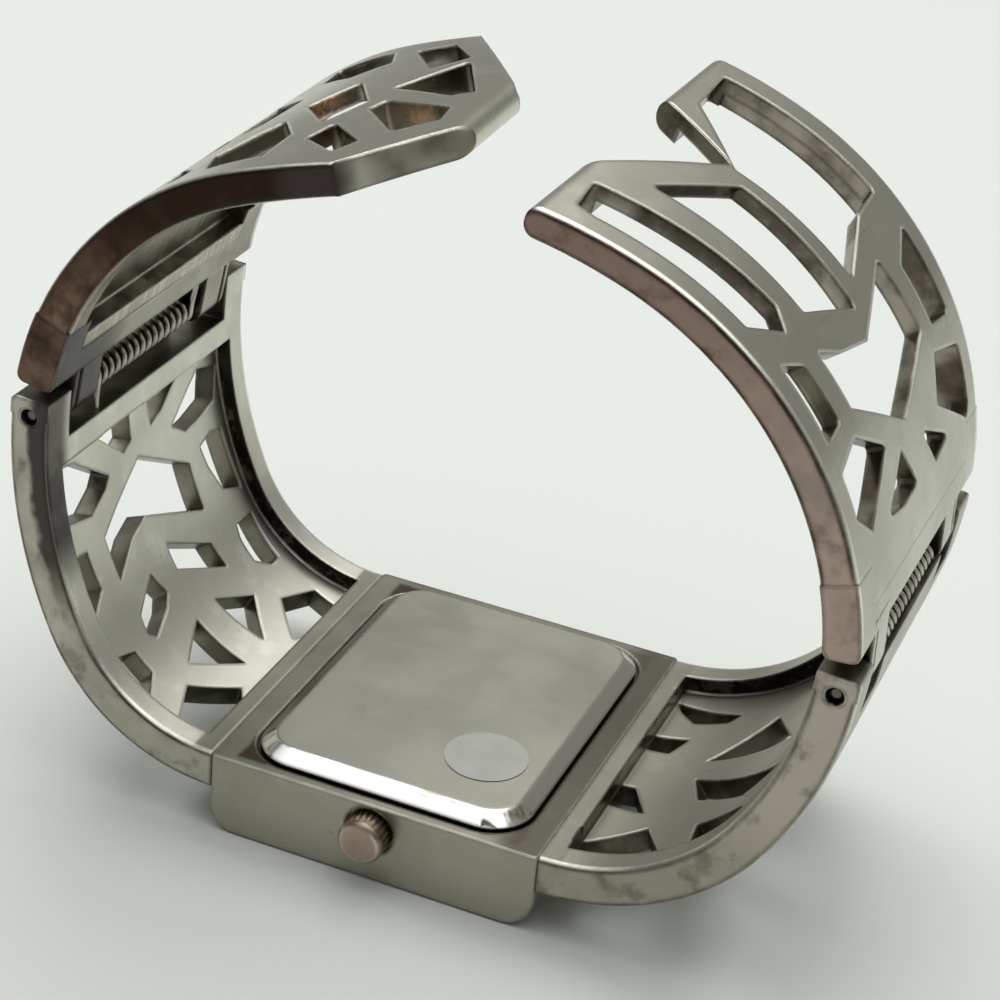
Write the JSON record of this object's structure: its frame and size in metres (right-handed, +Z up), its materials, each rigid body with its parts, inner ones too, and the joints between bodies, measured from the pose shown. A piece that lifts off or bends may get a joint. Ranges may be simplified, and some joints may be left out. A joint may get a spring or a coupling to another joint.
{
  "type": "cuff watch",
  "caption": "Rigid cuff watch with a rectangular case, pierced angular side bands and two spring-hinged open arms.",
  "frame": {"origin": "middle of the crystal's outer face, on which the watch lies", "axes": "+X across the cuff towards the notched arm, +Y along the wrist away from the crown, +Z up from the crystal through the case back to the arms' tips"},
  "size_m": [0.0584, 0.0297, 0.0518],
  "materials": {
    "case_body": "satin nickel plate",
    "crystal": "clear mineral glass",
    "crystal_gasket": "clear nylon ring",
    "case_back": "satin stainless steel, polished bevel",
    "case_back_gasket": "black rubber",
    "dial": "silvered lacquer",
    "hour_markers": "polished nickel",
    "hour_hand": "polished steel",
    "minute_hand": "polished steel",
    "movement": "plated brass plate",
    "movement_ring": "white plastic",
    "battery": "steel can",
    "crown_tube": "turned steel",
    "crown": "rose-gold plate, worn",
    "stem": "turned steel",
    "setting_lever": "stamped steel",
    "left_side_band": "satin nickel plate, polished rails",
    "right_side_band": "satin nickel plate, polished rails",
    "left_arm": "satin nickel plate, polished rails",
    "right_arm": "satin nickel plate, polished rails",
    "left_hinge_block": "satin nickel plate",
    "right_hinge_block": "satin nickel plate",
    "left_hinge_pin": "turned steel",
    "right_hinge_pin": "turned steel",
    "left_hinge_spring": "spring steel",
    "right_hinge_spring": "spring steel"
  },
  "bodies": {
    "cuff": {"case_body": "case_body", "crystal": "crystal", "crystal_gasket": "crystal_gasket", "case_back": "case_back", "case_back_gasket": "case_back_gasket", "dial": "dial", "hour_markers": "hour_markers", "movement": "movement", "movement_ring": "movement_ring", "battery": "battery", "crown_tube": "crown_tube", "left_side_band": "left_side_band", "right_side_band": "right_side_band", "left_hinge_pin": "left_hinge_pin", "right_hinge_pin": "right_hinge_pin", "left_hinge_spring": "left_hinge_spring", "right_hinge_spring": "right_hinge_spring"},
    "left_arm": {"left_arm": "left_arm", "left_hinge_block": "left_hinge_block"},
    "right_arm": {"right_arm": "right_arm", "right_hinge_block": "right_hinge_block"},
    "setting_lever": {"setting_lever": "setting_lever"},
    "crown": {"crown": "crown", "stem": "stem"},
    "minute_hand": {"minute_hand": "minute_hand"},
    "hour_hand": {"hour_hand": "hour_hand"}
  },
  "joints": [
    {"name": "left_arm_hinge", "type": "hinge", "parent": "cuff", "child": "left_arm", "pos_m": [-0.02634, 0, 0.02758], "axis": [0, -1, 0], "range_deg": [0, 40], "stiffness_Nm_per_rad": 0.08, "springref_deg": -2.86},
    {"name": "right_arm_hinge", "type": "hinge", "parent": "cuff", "child": "right_arm", "pos_m": [0.0291, 0, 0.02417], "axis": [0, 1, 0], "range_deg": [0, 40], "stiffness_Nm_per_rad": 0.08, "springref_deg": -2.86},
    {"name": "crown_pull", "type": "slide", "parent": "cuff", "child": "setting_lever", "axis": [0, -1, 0], "range_m": [0, 0.001]},
    {"name": "crown_turn", "type": "hinge", "parent": "setting_lever", "child": "crown", "pos_m": [0, -0.0148, 0.0039], "axis": [0, -1, 0], "continuous": true},
    {"name": "minute_hand_turn", "type": "hinge", "parent": "cuff", "child": "minute_hand", "pos_m": [0, 0, 0.0015], "axis": [0, 0, 1], "continuous": true},
    {"name": "hour_hand_turn", "type": "hinge", "parent": "cuff", "child": "hour_hand", "pos_m": [0, 0, 0.0018], "axis": [0, 0, 1], "continuous": true}
  ],
  "couplings": [
    {"joint": "hour_hand_turn", "follows": "minute_hand_turn", "ratio": 0.083333}
  ]
}
